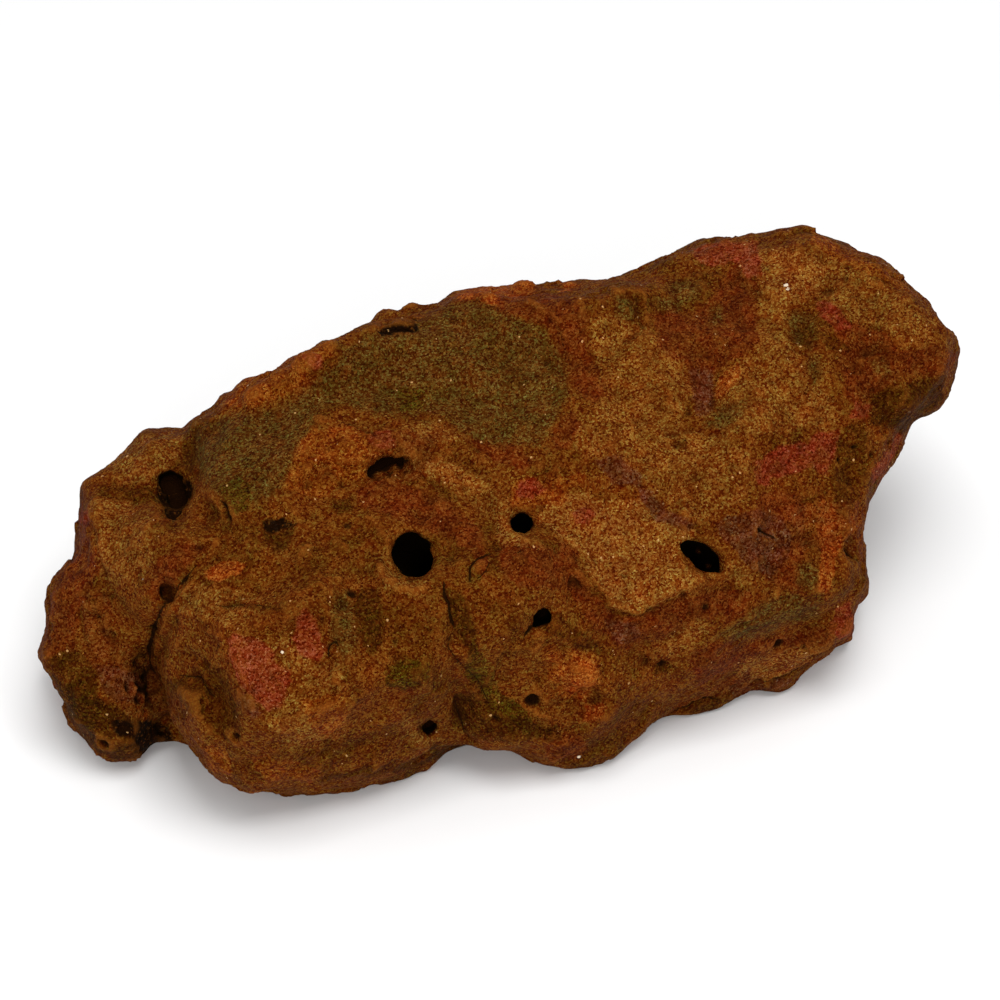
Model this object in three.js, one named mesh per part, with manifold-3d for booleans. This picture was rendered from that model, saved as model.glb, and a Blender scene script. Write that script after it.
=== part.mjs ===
// A termite rock: one weathered block of iron-stained sandstone, bored through by insects.
// Millimetres, +Z up. X runs along its length and Y away from the side that is seen.
// The origin is on the surface that it rests on, under the middle of its box.
import * as THREE from "three";
import Module from "manifold-3d";
import { triTable } from "three/addons/objects/MarchingCubes.js";
import { SimplifyModifier } from "three/addons/modifiers/SimplifyModifier.js";
import { ImprovedNoise } from "three/addons/math/ImprovedNoise.js";
import { mergeVertices } from "three/addons/utils/BufferGeometryUtils.js";

// Driving dimensions.
const SLAB_HALF = [98, 42, 34]; // the long upper slab: half its length, depth and thickness
const BORE_RADIUS = 4.3; // the widest insect bore
const CELL = 2; // spacing of the grid that the surface is drawn on
const VERTICES = 4880; // vertices kept in the finished solid
const SUNK = 7; // how far the unworked stone reaches below its resting face

// The side that the stone is seen from. A place on that side is [u, v]: mm to the right of the
// middle of the view and mm above it, as it measures at the distance of the middle.
const SEEN = { azimuth: -22, elevation: 40, distance: 940, middle: [0, 0, 40] };

const radians = THREE.MathUtils.degToRad;
const seenRight = new THREE.Vector3(Math.cos(radians(SEEN.azimuth)), Math.sin(radians(SEEN.azimuth)), 0);
const seenBack = new THREE.Vector3(
  Math.sin(radians(SEEN.azimuth)) * Math.cos(radians(SEEN.elevation)),
  -Math.cos(radians(SEEN.azimuth)) * Math.cos(radians(SEEN.elevation)),
  Math.sin(radians(SEEN.elevation)),
);
const seenUp = new THREE.Vector3().crossVectors(seenBack, seenRight);

// The body: blunt lumps that run into each other. turn is [roll, pitch, yaw] in degrees, and a
// larger square gives flatter faces.
const LUMPS = [
  { name: "slab", at: [8, 10, 46], half: SLAB_HALF, turn: [16, -7, -2], square: 4 },
  { name: "crest", at: [-22, 26, 60], half: [46, 18, 17], turn: [10, -9, 0], square: 2.8 },
  { name: "shoulder", at: [-42, -13, 31], half: [54, 41, 38], turn: [20, -6, 4], square: 4.2 },
  { name: "apron", at: [44, -18, 38], half: [50, 41, 34], turn: [33, -3, 0], square: 3.6 },
  { name: "right foot", at: [52, -28, 14], half: [40, 31, 25], turn: [0, 0, 6], square: 3 },
  { name: "back rim", at: [14, 32, 66], half: [34, 14, 14], turn: [0, -4, 0], square: 2.6 },
  { name: "head", at: [92, -4, 66], half: [28, 30, 22], turn: [10, -8, 10], square: 3 },
  { name: "crown", at: [-87, 25, 43], half: [21, 21, 22], turn: [0, -10, 0], square: 3.2 },
  { name: "column", at: [-95, 12, 32], half: [14, 20, 26], turn: [0, 10, 0], square: 2.6 },
  { name: "left lobe", at: [-106, 6, 18], half: [15, 19, 24], turn: [0, 0, 0], square: 2.4 },
  { name: "left foot", at: [-104, -8, 8], half: [13, 12, 15], turn: [0, 0, 0], square: 2.4 },
  { name: "front foot", at: [-60, -32, 14], half: [32, 20, 24], turn: [0, 0, 0], square: 3 },
  { name: "middle foot", at: [-4, -42, 14], half: [34, 20, 22], turn: [0, 0, 0], square: 2.6 },
  { name: "waist", at: [16, -36, 30], half: [30, 22, 26], turn: [12, 0, -8], square: 2.8 },
  { name: "back boss", at: [52, 34, 34], half: [34, 22, 24], turn: [-8, 6, -14], square: 2.6 },
  { name: "back heel", at: [-46, 36, 16], half: [36, 18, 20], turn: [6, 0, 10], square: 2.6 },
];
const LUMP_BLEND = 9;

// The roughness of the lumps: [size across, height] of each kind, in mm.
const SLOW = [34, 3];
const LOBES = [26, 1.2];
const SMALL_LOBES = [15, 0.9];
const GRAIN = [10, 1];
const UNSEEN_ROUGHER = 1.5; // how much higher the lobes stand on the unseen side, in mm

// The edge of the stone as seen, from its left tip round over the top.
const OUTLINE = [
  [-116, -38], [-113, -30], [-114, -25], [-112, -20], [-106, -13.5], [-105.5, -5.5], [-104, 4],
  [-100, 7], [-93, 14], [-89, 18], [-78.5, 18], [-77, 20], [-71.5, 22], [-69, 25], [-64.5, 29],
  [-57, 31.5], [-51, 36], [-45, 40.5], [-40.5, 41], [-35, 43], [-29, 45.5], [-22, 48], [-19, 47],
  [-14, 48.5], [-11, 52], [1, 53.5], [6, 56], [11, 54.5], [24, 54], [34, 56], [42, 61], [51.5, 64],
  [63, 66], [71, 67], [77, 68], [81, 66], [88, 63.5], [94, 60], [100, 56], [107, 50], [110, 45],
  [114, 40.5], [115, 37], [114, 32], [113, 27], [110, 22.5], [104, 19.5], [100, 14], [97.5, 9],
  [93.5, 4], [91.5, -0.5], [90, -11], [91, -18], [92, -22], [91, -24.5], [89, -26], [88, -35],
  [82.5, -37.5], [78, -41], [73, -45], [70, -47.5], [63.5, -46.5], [59, -49], [55, -52], [49, -54],
  [43, -54], [39, -56], [32.5, -60.5], [28.5, -64], [23, -67.5], [16.5, -68.5], [12.5, -68.5], [8.5, -66],
  [3, -63.5], [-7, -61], [-13.5, -62], [-17.5, -65], [-19, -67.5], [-24, -70], [-33, -72],
  [-53, -73.5], [-62, -73], [-66, -71], [-71.5, -69], [-74.5, -65], [-77, -62], [-82, -61.5],
  [-87, -61], [-90, -65.5], [-99, -66], [-103, -62.5], [-107.5, -56], [-110, -50], [-112, -44],
];
const OUTLINE_BLEND = 6;

// Creases of the seen side, drawn left to right or downwards. Each falls deep mm within steep mm
// and comes back over ease mm on the lower or left side of its line.
const CREASES = [
  {
    name: "edge of the raised plate",
    line: [[15, -13], [18.8, -22.5], [27.5, -28], [35, -29.5], [50, -23.8], [61, -21], [74, -15]],
    deep: 2.4, steep: 3.5, ease: 13,
  },
  {
    name: "rim over the shoulder",
    line: [[-54, 0], [-42.5, 7.5], [-33.8, 5.5], [-23.8, 7.5], [-15, 5], [-5, -1.3], [0, -8.8], [8, -12.5]],
    deep: 2.4, steep: 4, ease: 14,
  },
  {
    name: "long groove",
    line: [[-13, -20], [-12, -30], [-11.3, -37.5], [-12, -45], [-9.5, -50], [-8.8, -56.3], [-7.5, -61]],
    deep: 2.6, steep: 5, ease: 8,
  },
  {
    name: "left end of the slab",
    line: [[-78, 20], [-76.5, 8], [-75.5, 0], [-70, -5.5], [-63, -11.3]],
    deep: 4.6, steep: 3.6, ease: 13,
  },
  {
    name: "cleft beside the front block",
    line: [[-60, -11], [-67, -14], [-74, -20], [-82, -26], [-85, -35], [-87.5, -45], [-83, -57]],
    deep: 3.2, steep: 4, ease: 9,
  },
  { name: "wrinkle", line: [[-75, -25], [-65, -24], [-49, -27]], deep: 1.6, steep: 4, ease: 7 },
  {
    name: "block corner",
    line: [[-86, -41], [-76, -41], [-71, -48], [-68, -60]],
    deep: 2, steep: 5, ease: 8,
  },
  { name: "upper right ledge", line: [[52, -38], [72.5, -32], [88, -27]], deep: 2.8, steep: 4, ease: 9 },
  {
    name: "lower right ledge",
    line: [[38, -53], [47, -49], [58.8, -43], [74, -38.5]],
    deep: 2.8, steep: 4, ease: 9,
  },
  {
    name: "curved step",
    line: [[28, 4], [35, -1.3], [38.8, -6.3], [46, -10.5]],
    deep: 1, steep: 5, ease: 9,
  },
  {
    name: "step on the head",
    line: [[72, 53], [80, 47], [92, 38], [104, 31]],
    deep: 1.8, steep: 6, ease: 20,
  },
  {
    name: "foot of the plate",
    line: [[12, -37], [24, -40], [40, -38], [54, -32]],
    deep: 1.4, steep: 5, ease: 10,
  },
  { name: "crown's edge", line: [[-99, 7], [-93, 3], [-87, 2], [-83, 7]], deep: 2.6, steep: 4, ease: 12 },
  {
    name: "olive hollow",
    line: [[-44, 40], [-30, 30], [-10, 26], [12, 30]],
    deep: 1.6, steep: 9, ease: 22,
  },
  { name: "saddle", line: [[40, 60], [47, 40], [51, 22], [44, 8]], deep: 1.8, steep: 10, ease: 12 },
];

// Flat breaks of the seen side: inside each outline the stone is drawn towards one plane.
const BREAKS = [
  {
    name: "top of the block",
    around: [[-83, -24.5], [-74, -19.5], [-62.5, -12], [-50, -15], [-41, -22], [-52.5, -25], [-66, -27.5]],
  },
  {
    name: "side of the block",
    around: [[-84, -26], [-76, -28], [-67, -35], [-64, -47], [-60, -59], [-71, -61], [-77, -50], [-87, -45]],
  },
  {
    name: "front of the block",
    around: [[-66, -34], [-50, -26], [-41, -25], [-37.5, -40], [-50, -55], [-59.5, -59], [-64.5, -47.5]],
  },
  {
    name: "foot of the block",
    around: [[-37, -40.5], [-15, -47.5], [-11, -59], [-25, -70], [-52.5, -72.5], [-59, -60], [-49.5, -55.5]],
  },
  {
    name: "top of the crown",
    around: [[-99, 9], [-92.5, 16], [-77.5, 17.5], [-76, 7.5], [-87.5, 3.5], [-94, 4.5]],
  },
  {
    name: "face of the column",
    around: [[-103, 3], [-99, 7.5], [-94, 4], [-87.5, 2.5], [-87.5, -15], [-94, -22.5], [-97.5, -17.5]],
  },
  {
    name: "end of the slab",
    around: [[-72, 22], [-52.5, 24.5], [-41, 15], [-52.5, 5], [-66, -3], [-70, 5]],
  },
  {
    name: "olive face",
    around: [[-40, 37.5], [-15, 45], [2.5, 46], [17.5, 35], [15, 17.5], [-7.5, 15], [-30, 22.5]],
  },
  {
    name: "top of the head",
    around: [[67.5, 62.5], [82.5, 64], [107.5, 42.5], [95, 41], [75, 47.5], [66, 42.5]],
  },
  {
    name: "front of the head",
    around: [[76, 46], [97.5, 39.5], [112.5, 36], [107.5, 24], [91, 22.5], [82.5, 32.5]],
  },
  { name: "middle face", around: [[25, 42.5], [60, 40], [57.5, 12.5], [35, 5], [25, 17.5]] },
  { name: "raised plate", around: [[12.5, 2.5], [35, -1], [59, -19], [35, -28], [25.5, -25], [16, -11]] },
  { name: "right face", around: [[66, 7.5], [84, 16], [87.5, 0], [88, -25], [75, -25], [61, -20]] },
  { name: "pedestal face", around: [[-31, -23], [-15, -25], [-13.5, -40], [-25, -45], [-34, -37.5]] },
  {
    name: "top of the shoulder",
    around: [[-42.5, 4.5], [-15, 2], [-2.5, -10], [-10, -20], [-30, -15], [-45, -10]],
  },
  { name: "lower middle face", around: [[-6, -47.5], [15, -37.5], [30, -50], [20, -63], [0, -60.5]] },
  {
    name: "left lobe face",
    around: [[-112.5, -25], [-104, -23], [-100.5, -37.5], [-110, -46], [-115, -37.5]],
  },
];
const BREAK_PULL = 0.78; // how fully the stone is drawn to the plane
const BREAK_EDGE = 5; // how far inside its outline a break is in full
const BREAK_REACH = 6; // how far from its plane a break still draws the stone

// Flat breaks of the other sides: the plane is square to normal, sunk mm below the stone that lies
// outwards from the place towards.
const FAR_BREAKS = [
  { towards: [60, 20, 45], normal: [0.2, 0.95, 0.2], radius: 32, sunk: 3 },
  { towards: [0, 15, 40], normal: [0.1, 0.98, 0.1], radius: 30, sunk: 3 },
  { towards: [-30, 15, 55], normal: [-0.15, 0.75, 0.65], radius: 30, sunk: 2.5 },
  { towards: [-72, 18, 34], normal: [-0.4, 0.87, 0.28], radius: 26, sunk: 3 },
  { towards: [84, 8, 58], normal: [0.86, 0.42, 0.28], radius: 26, sunk: 3 },
  { towards: [86, -6, 52], normal: [0.8, -0.2, -0.57], radius: 24, sunk: 2.5 },
  { towards: [26, 10, 60], normal: [0.05, 0.5, 0.87], radius: 30, sunk: 2 },
  { towards: [-96, 8, 24], normal: [-0.95, 0.25, 0.2], radius: 22, sunk: 2.5 },
];

// Pits and bores of the seen side. Each runs through places [u, v, depth below the surface].
const PITS = [
  {
    name: "main bore",
    path: [[-23.2, -14, -3], [-22.6, -14, 10], [-16, -20, 20], [-8, -22, 26]],
    radius: BORE_RADIUS,
  },
  { name: "lower side of the main bore", path: [[-20.8, -16, -3], [-20.8, -16, 9]], radius: 3.6 },
  { name: "upper side of the main bore", path: [[-22.6, -12, -3], [-22.4, -12, 8]], radius: 3.4 },
  { name: "middle bore", path: [[4.8, -5.2, -3], [5.2, -5.6, 8], [12, -8, 14]], radius: 2.2 },
  { name: "lower side of the middle bore", path: [[6, -7, -3], [6, -7, 6]], radius: 1.9 },
  { name: "upper end of the right bore", path: [[47.2, -11.4, -4], [48.2, -12.2, 5]], radius: 1.9 },
  { name: "middle of the right bore", path: [[49.6, -13.6, -4], [50, -14, 7]], radius: 2.3 },
  { name: "right bore", path: [[52.2, -15.6, -4], [52, -15.6, 8], [45, -18, 16]], radius: 2.8 },
  { name: "rough pit", path: [[-32, 6.5, 0], [-30, 7.5, 5], [-25, 8.5, 4.5]], radius: 2.4 },
  { name: "hooked pit", path: [[9.5, -30, -1], [10.5, -29, 3], [11, -29, 5]], radius: 1.9 },
  { name: "low bore", path: [[-18, -56.5, -1], [-18, -56.5, 5]], radius: 1.9 },
  { name: "upper left hollow", path: [[-81.8, 5, -4], [-81.8, 4.6, 10]], radius: 3.2 },
  { name: "left hollow", path: [[-81, 0.5, -4], [-81, 1, 13]], radius: 3.9 },
  { name: "lower left hollow", path: [[-81.6, -3.4, -4], [-81.4, -3, 9.5]], radius: 2.6 },
  { name: "upper cleft pit", path: [[-84, -23, 0], [-83, -23, 6]], radius: 1.9 },
  { name: "lower cleft pit", path: [[-87, -34, 1], [-86, -34, 6]], radius: 1.9 },
  { name: "edge slot", path: [[-29.5, 44, 0], [-27, 44, 4], [-21, 43, 4]], radius: 1.9 },
  { name: "cave", path: [[-84.5, -59, 0], [-82, -58, 6]], radius: 4.6 },
  { name: "side notch", path: [[91, -12, 0], [88, -12, 4]], radius: 3 },
  { name: "overhang pit", path: [[88, 7, 0], [93, 13, 0]], radius: 3.2 },
];

// Swellings of the seen side, rise mm high.
const SWELLINGS = [
  { name: "orange boss", at: [19, -44], radius: 13, rise: 3.4 },
  { name: "pedestal", at: [-22, -32], radius: 12, rise: 2.6 },
  { name: "boss beside the groove", at: [2, -22], radius: 16, rise: 2.6 },
  { name: "block face", at: [-52, -38], radius: 24, rise: 1.6 },
  { name: "lower left lobe", at: [-103, -46], radius: 12, rise: 2.2 },
  { name: "red corner", at: [84, -31], radius: 9, rise: 2.4 },
];

// Hollows of the unseen sides: [x, y, z] of the middle and the radius of each bite.
const BITES = [
  { name: "arch under the right end", at: [62, 22, -20], radius: 27 },
  { name: "underside hollow", at: [-14, -6, -20], radius: 25 },
  { name: "left underside hollow", at: [-66, 2, -16], radius: 20 },
  { name: "back hollow", at: [8, 74, 30], radius: 26 },
  { name: "hollow in the back heel", at: [-84, 58, 10], radius: 22 },
  { name: "bore in the back boss", at: [42, 60, 40], radius: 6 },
  { name: "small bore in the back", at: [-34, 56, 44], radius: 4 },
  { name: "pit in the right end", at: [124, 8, 40], radius: 14 },
];

const noise = new ImprovedNoise();

// A slow roughness: lumps about size mm across, height mm up and down.
function roughness([x, y, z], [size, height]) {
  return height * noise.noise(x / size + 3.7, y / size + 1.9, z / size + 8.3);
}

// Rounded lobes about size mm across with creases height mm deep between them.
function lobes([x, y, z], [size, height]) {
  return height * (0.5 - 2 * Math.abs(noise.noise(x / size + 5.1, y / size + 9.4, z / size + 2.6)));
}

// Soft joins of two distances, rounded over about blend mm.
function joined(a, b, blend) {
  const h = Math.max(blend - Math.abs(a - b), 0) / blend;
  return Math.min(a, b) - (h * h * blend) / 4;
}

function cutBy(a, b, blend) {
  return -joined(-a, b, blend);
}

function common(a, b, blend) {
  return -joined(-a, -b, blend);
}

function prepared(lump) {
  const [roll, pitch, yaw] = lump.turn.map(radians);
  const turn = new THREE.Matrix4().makeRotationFromEuler(new THREE.Euler(roll, pitch, yaw, "ZYX"));
  return { ...lump, back: turn.transpose().elements };
}

// About how far a point is outside a lump, or the negative of how far inside.
function lumpDistance([x, y, z], { at, half, square, back: m }) {
  const dx = x - at[0];
  const dy = y - at[1];
  const dz = z - at[2];
  const local = [
    m[0] * dx + m[4] * dy + m[8] * dz,
    m[1] * dx + m[5] * dy + m[9] * dz,
    m[2] * dx + m[6] * dy + m[10] * dz,
  ];
  const share = local.map((value, axis) => Math.abs(value) / half[axis] + 1e-6);
  const size = share.reduce((sum, value) => sum + value ** square, 0) ** (1 / square);
  const slope = Math.hypot(...share.map((value, axis) => (value / size) ** (square - 1) / half[axis]));
  return (size - 1) / slope;
}

// Where a point is seen: [u, v, nearness], with nearness in mm towards the viewer.
const middle = new THREE.Vector3(...SEEN.middle);
function seenAt([x, y, z]) {
  const p = [x - middle.x, y - middle.y, z - middle.z];
  const near = p[0] * seenBack.x + p[1] * seenBack.y + p[2] * seenBack.z;
  const grow = SEEN.distance / (SEEN.distance - near);
  const u = (p[0] * seenRight.x + p[1] * seenRight.y + p[2] * seenRight.z) * grow;
  const v = (p[0] * seenUp.x + p[1] * seenUp.y + p[2] * seenUp.z) * grow;
  return [u, v, near];
}

// How far [u, v] is outside an outline, or the negative of how far inside.
function outlineDistance(outline, u, v) {
  let nearest = Infinity;
  let inside = false;
  for (let i = 0, j = outline.length - 1; i < outline.length; j = i++) {
    const [ax, ay] = outline[i];
    const [bx, by] = outline[j];
    const ex = bx - ax;
    const ey = by - ay;
    const wx = u - ax;
    const wy = v - ay;
    const along = THREE.MathUtils.clamp((wx * ex + wy * ey) / (ex * ex + ey * ey), 0, 1);
    nearest = Math.min(nearest, (wx - ex * along) ** 2 + (wy - ey * along) ** 2);
    if (ay > v !== by > v && u < (ex * (v - ay)) / ey + ax) inside = !inside;
  }
  return inside ? -Math.sqrt(nearest) : Math.sqrt(nearest);
}

const lumps = LUMPS.map(prepared);

function lumpsDistance(p) {
  const join = (sum, lump) => joined(sum, lumpDistance(p, lump), LUMP_BLEND);
  return lumps.reduce(join, Infinity) + roughness(p, SLOW);
}

const smooth = (t) => THREE.MathUtils.smoothstep(t, 0, 1);

// The point seen at [u, v], near mm nearer to the viewer than the middle.
function pointAt([u, v], near) {
  const grow = SEEN.distance / (SEEN.distance - near);
  return middle
    .clone()
    .addScaledVector(seenRight, u / grow)
    .addScaledVector(seenUp, v / grow)
    .addScaledVector(seenBack, near);
}

const REACH = 100; // further from the middle than any of the stone
const STRIDE = 0.5; // how closely the surface of the lumps is looked for

// How near the surface of the lumps is at [u, v].
function nearnessAt(place) {
  let near = REACH;
  while (near > -REACH && lumpsDistance(pointAt(place, near).toArray()) > 0) near -= STRIDE;
  return near;
}

const creases = CREASES.map((crease) => {
  const lengths = crease.line.map((point, n) =>
    n ? Math.hypot(point[0] - crease.line[n - 1][0], point[1] - crease.line[n - 1][1]) : 0,
  );
  return {
    ...crease,
    lengths,
    length: lengths.reduce((sum, value) => sum + value),
    nearness: crease.line.map(nearnessAt),
  };
});

// The plane nearest to the stone round each break of the seen side.
const breaks = BREAKS.map(({ around }) => {
  const points = around.map((place) => pointAt(place, nearnessAt(place)));
  const centre = new THREE.Vector3();
  for (const point of points) centre.addScaledVector(point, 1 / points.length);
  const normal = new THREE.Vector3();
  for (let n = 0; n < points.length; n++) {
    const from = points[n].clone().sub(centre);
    const to = points[(n + 1) % points.length].clone().sub(centre);
    normal.add(from.cross(to));
  }
  normal.normalize();
  if (normal.dot(seenBack) < 0) normal.negate();
  return { around, centre, normal };
});

const farBreaks = FAR_BREAKS.map(({ towards, normal, radius, sunk }) => {
  const out = new THREE.Vector3(...normal).normalize();
  const centre = new THREE.Vector3(...towards);
  while (lumpsDistance(centre.toArray()) < 0) centre.addScaledVector(out, STRIDE);
  return { radius, normal: out, centre: centre.addScaledVector(out, -sunk) };
});

function planeDistance(p, { centre, normal }) {
  return (p[0] - centre.x) * normal.x + (p[1] - centre.y) * normal.y + (p[2] - centre.z) * normal.z;
}

// Draws a distance towards the planes of the breaks.
function broken(p, u, v, distance) {
  let d = distance;
  for (const flat of breaks) {
    const plane = planeDistance(p, flat);
    if (Math.abs(plane) > 2 * BREAK_REACH) continue;
    const within = smooth(-outlineDistance(flat.around, u, v) / BREAK_EDGE);
    const close = 1 - smooth(Math.abs(plane) / BREAK_REACH - 1);
    d = THREE.MathUtils.lerp(d, plane, BREAK_PULL * within * close);
  }
  for (const flat of farBreaks) {
    const { centre, radius } = flat;
    const aside = Math.hypot(p[0] - centre.x, p[1] - centre.y, p[2] - centre.z) / radius;
    if (aside < 1) d = THREE.MathUtils.lerp(d, planeDistance(p, flat), BREAK_PULL * smooth(2 - 2 * aside));
  }
  return d;
}

const CREASE_REACH = 20; // how far behind its line a crease still marks the stone
const CREASE_END = 9; // how much of its length each end of a crease takes to die away

// How far a crease lowers the surface at a place.
function creaseDepth({ line, lengths, length, nearness, deep, steep, ease }, u, v, near) {
  let best = Infinity;
  let side = 0;
  let along = 0;
  let level = 0;
  let run = 0;
  for (let n = 1; n < line.length; n++) {
    const ex = line[n][0] - line[n - 1][0];
    const ey = line[n][1] - line[n - 1][1];
    const wx = u - line[n - 1][0];
    const wy = v - line[n - 1][1];
    const t = THREE.MathUtils.clamp((wx * ex + wy * ey) / (ex * ex + ey * ey), 0, 1);
    const gap = Math.hypot(wx - ex * t, wy - ey * t);
    if (gap < best) {
      best = gap;
      side = ex * wy - ey * wx > 0 ? -1 : 1;
      along = run + t * lengths[n];
      level = THREE.MathUtils.lerp(nearness[n - 1], nearness[n], t);
    }
    run += lengths[n];
  }
  if (best > Math.max(steep, ease)) return 0;
  const across = smooth(1 - best / (side < 0 ? steep : ease));
  const fade = Math.min(CREASE_END, length / 3);
  const ends = smooth(along / fade) * smooth((length - along) / fade);
  const seen = 1 - smooth((2 * Math.abs(near - level)) / CREASE_REACH - 1);
  return deep * across * ends * seen;
}

const pits = PITS.map(({ path, radius }) => {
  const near = nearnessAt(path[0]);
  return { radius, path: path.map(([u, v, depth]) => pointAt([u, v], near - depth)) };
});

const scratch = { line: new THREE.Line3(), point: new THREE.Vector3(), nearest: new THREE.Vector3() };

function rodDistance(p, start, end, radius) {
  scratch.line.set(start, end);
  scratch.point.fromArray(p);
  scratch.line.closestPointToPoint(scratch.point, true, scratch.nearest);
  return scratch.nearest.distanceTo(scratch.point) - radius;
}

const swellings = SWELLINGS.map(({ at, radius, rise }) => ({
  middle: pointAt(at, nearnessAt(at) - radius + rise),
  radius,
}));

const FEATURE_REACH = 30; // no feature moves the surface by as much as this
const SWELLING_BLEND = 8;
const BITE_BLEND = 6;
const PIT_BLEND = 2.4;
const UNSEEN_OVER = 30; // how far behind the middle the unseen side is in full

// About how far a point is outside the stone, or the negative of how far inside.
function stoneDistance(p) {
  let d = lumpsDistance(p);
  if (Math.abs(d) < FEATURE_REACH) {
    for (const { middle: m, radius } of swellings)
      d = joined(d, Math.hypot(p[0] - m.x, p[1] - m.y, p[2] - m.z) - radius, SWELLING_BLEND);
    const [u, v, near] = seenAt(p);
    d = broken(p, u, v, d);
    const edge = (outlineDistance(OUTLINE, u, v) * (SEEN.distance - near)) / SEEN.distance;
    d = common(d, edge, OUTLINE_BLEND);
    const rougher = UNSEEN_ROUGHER * smooth(-near / UNSEEN_OVER);
    d += lobes(p, [LOBES[0], LOBES[1] + rougher]) + lobes(p, SMALL_LOBES) + roughness(p, GRAIN);
    for (const crease of creases) d += creaseDepth(crease, u, v, near);
    for (const { at, radius } of BITES)
      d = cutBy(d, Math.hypot(p[0] - at[0], p[1] - at[1], p[2] - at[2]) - radius, BITE_BLEND);
    for (const { radius, path } of pits)
      for (let n = 1; n < path.length; n++)
        d = cutBy(d, rodDistance(p, path[n - 1], path[n], radius), PIT_BLEND);
  }
  return Math.max(d, -SUNK - p[2]);
}

// Draws the surface where distance is 0 on a grid from low to high, as one closed mesh.
function surface(distance, low, high, cell) {
  const count = low.map((value, axis) => Math.ceil((high[axis] - value) / cell) + 1);
  const [nx, ny, nz] = count;
  const step = [1, nx, nx * ny];
  const field = new Float32Array(nx * ny * nz);
  for (let k = 0, n = 0; k < nz; k++)
    for (let j = 0; j < ny; j++)
      for (let i = 0; i < nx; i++, n++)
        field[n] = distance([low[0] + i * cell, low[1] + j * cell, low[2] + k * cell]) || 1e-4;
  const square = [0, 1, 1 + nx, nx];
  const corners = [...square, ...square.map((n) => n + nx * ny)];
  // Each of a cell's 12 edges: the corner that it starts from, and the axis that it runs along.
  const edges = [
    [0, 0], [1, 1], [3, 0], [0, 1], [4, 0], [5, 1], [7, 0], [4, 1], [0, 2], [1, 2], [2, 2], [3, 2],
  ];
  const positions = [];
  const made = new Map();
  const vertexOn = (start, axis) => {
    const key = start * 3 + axis;
    if (!made.has(key)) {
      const a = field[start];
      const b = field[start + step[axis]];
      const t = THREE.MathUtils.clamp(a / (a - b), 0.04, 0.96);
      const place = [start % nx, Math.floor(start / nx) % ny, Math.floor(start / (nx * ny))];
      place[axis] += t;
      made.set(key, positions.length / 3);
      positions.push(...place.map((value, n) => low[n] + value * cell));
    }
    return made.get(key);
  };
  const triangles = [];
  for (let k = 0; k < nz - 1; k++)
    for (let j = 0; j < ny - 1; j++)
      for (let i = 0; i < nx - 1; i++) {
        const base = i + j * nx + k * nx * ny;
        let inside = 0;
        for (let c = 0; c < 8; c++) if (field[base + corners[c]] < 0) inside |= 1 << c;
        for (let t = inside * 16; triTable[t] !== -1; t += 3)
          for (const n of [t, t + 2, t + 1]) {
            const [corner, axis] = edges[triTable[n]];
            triangles.push(vertexOn(base + corners[corner], axis));
          }
      }
  const geometry = new THREE.BufferGeometry();
  geometry.setAttribute("position", new THREE.Float32BufferAttribute(positions, 3));
  geometry.setIndex(triangles);
  return geometry;
}

const wasm = await Module();
wasm.setup();

function solidOf(geometry) {
  return new wasm.Manifold(
    new wasm.Mesh({
      numProp: 3,
      vertProperties: new Float32Array(geometry.attributes.position.array),
      triVerts: new Uint32Array(geometry.index.array),
    }),
  );
}

// The stone is drawn finely, thinned to its finished number of vertices, and cut flat where it rests.
const LOW = [-126, -82, -SUNK - 2 * CELL];
const HIGH = [126, 82, 112];
const fine = surface(stoneDistance, LOW, HIGH, CELL);
const plain = await new SimplifyModifier().modify(fine, fine.attributes.position.count - VERTICES);
const ground = new THREE.BoxGeometry(2 * (HIGH[0] - LOW[0]), 2 * (HIGH[1] - LOW[1]), 4 * SUNK);
ground.translate(0, 0, -2 * SUNK);
ground.deleteAttribute("normal");
ground.deleteAttribute("uv");
const mesh = solidOf(plain).subtract(solidOf(mergeVertices(ground))).getMesh();

const rockGeometry = new THREE.BufferGeometry();
rockGeometry.setAttribute("position", new THREE.Float32BufferAttribute(mesh.vertProperties, 3));
rockGeometry.setIndex(new THREE.BufferAttribute(mesh.triVerts, 1));
rockGeometry.computeVertexNormals();
rockGeometry.computeBoundingBox();
const centre = rockGeometry.boundingBox.getCenter(new THREE.Vector3());
rockGeometry.translate(-centre.x, -centre.y, 0);

const stone = new THREE.MeshStandardMaterial({ color: 0x6b4420, roughness: 0.9, metalness: 0 });
const rock = new THREE.Mesh(rockGeometry, stone);
rock.name = "rock";

const part = new THREE.Group();
part.add(rock);
export default part;
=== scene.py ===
import math

import bpy
import numpy as np
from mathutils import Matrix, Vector, noise
from mathutils.bvhtree import BVHTree


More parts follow.
